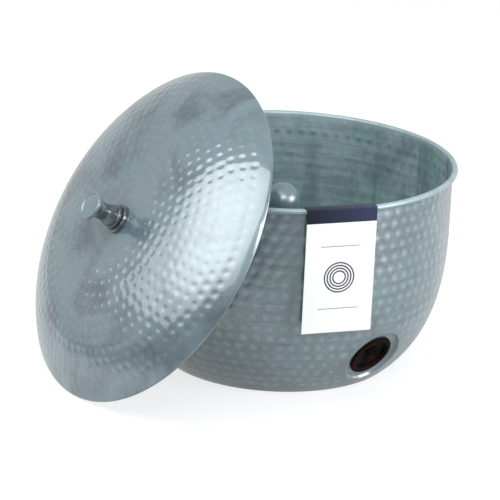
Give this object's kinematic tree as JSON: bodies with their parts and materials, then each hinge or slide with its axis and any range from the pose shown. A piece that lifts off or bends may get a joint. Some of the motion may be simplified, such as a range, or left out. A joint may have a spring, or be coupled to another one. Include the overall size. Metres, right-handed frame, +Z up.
{
  "type": "garden hose pot",
  "caption": "Round hammered steel pot that stores a garden hose round a centre post, with a rubber hose outlet low on the wall and a domed knobbed lid leaning on the rim.",
  "frame": {"origin": "centre of the base, on the ground", "axes": "+Z up; the lid leans on the rim's -X side; the hose outlet faces 10 degrees from -Y towards +X"},
  "size_m": [0.5124, 0.439, 0.3626],
  "materials": {
    "hammered_steel": "hammered sheet steel with a satin blue-grey patina under clear lacquer",
    "smooth_steel": "smooth steel with the same satin blue-grey patina",
    "steel_wire": "drawn steel wire",
    "zinc_hardware": "zinc plated",
    "outlet_rubber": "dark red-brown rubber, semi-gloss",
    "printed_card": "smooth white card with a navy band"
  },
  "bodies": {
    "pot": {"pot_shell": "hammered_steel", "rim_wire": "steel_wire", "center_post": "smooth_steel", "post_plate": "zinc_hardware", "post_bolt": "zinc_hardware", "post_washer": "zinc_hardware", "post_nut": "zinc_hardware", "hose_grommet": "outlet_rubber"},
    "lid": {"lid_shell": "hammered_steel", "lid_edge_wire": "steel_wire", "lid_knob": "smooth_steel", "knob_collar": "smooth_steel", "knob_screw": "zinc_hardware", "knob_washer": "zinc_hardware"},
    "card": {"rim_card": "printed_card"}
  },
  "joints": [
    {"name": "lid_tip", "type": "hinge", "parent": "pot", "child": "lid", "pos_m": [-0.29524, 0, 0.0022], "axis": [0, -1, 0], "range_deg": [0, 30]},
    {"name": "card_lift", "type": "slide", "parent": "pot", "child": "card", "axis": [0, 0, 1], "range_m": [0, 0.06]}
  ]
}
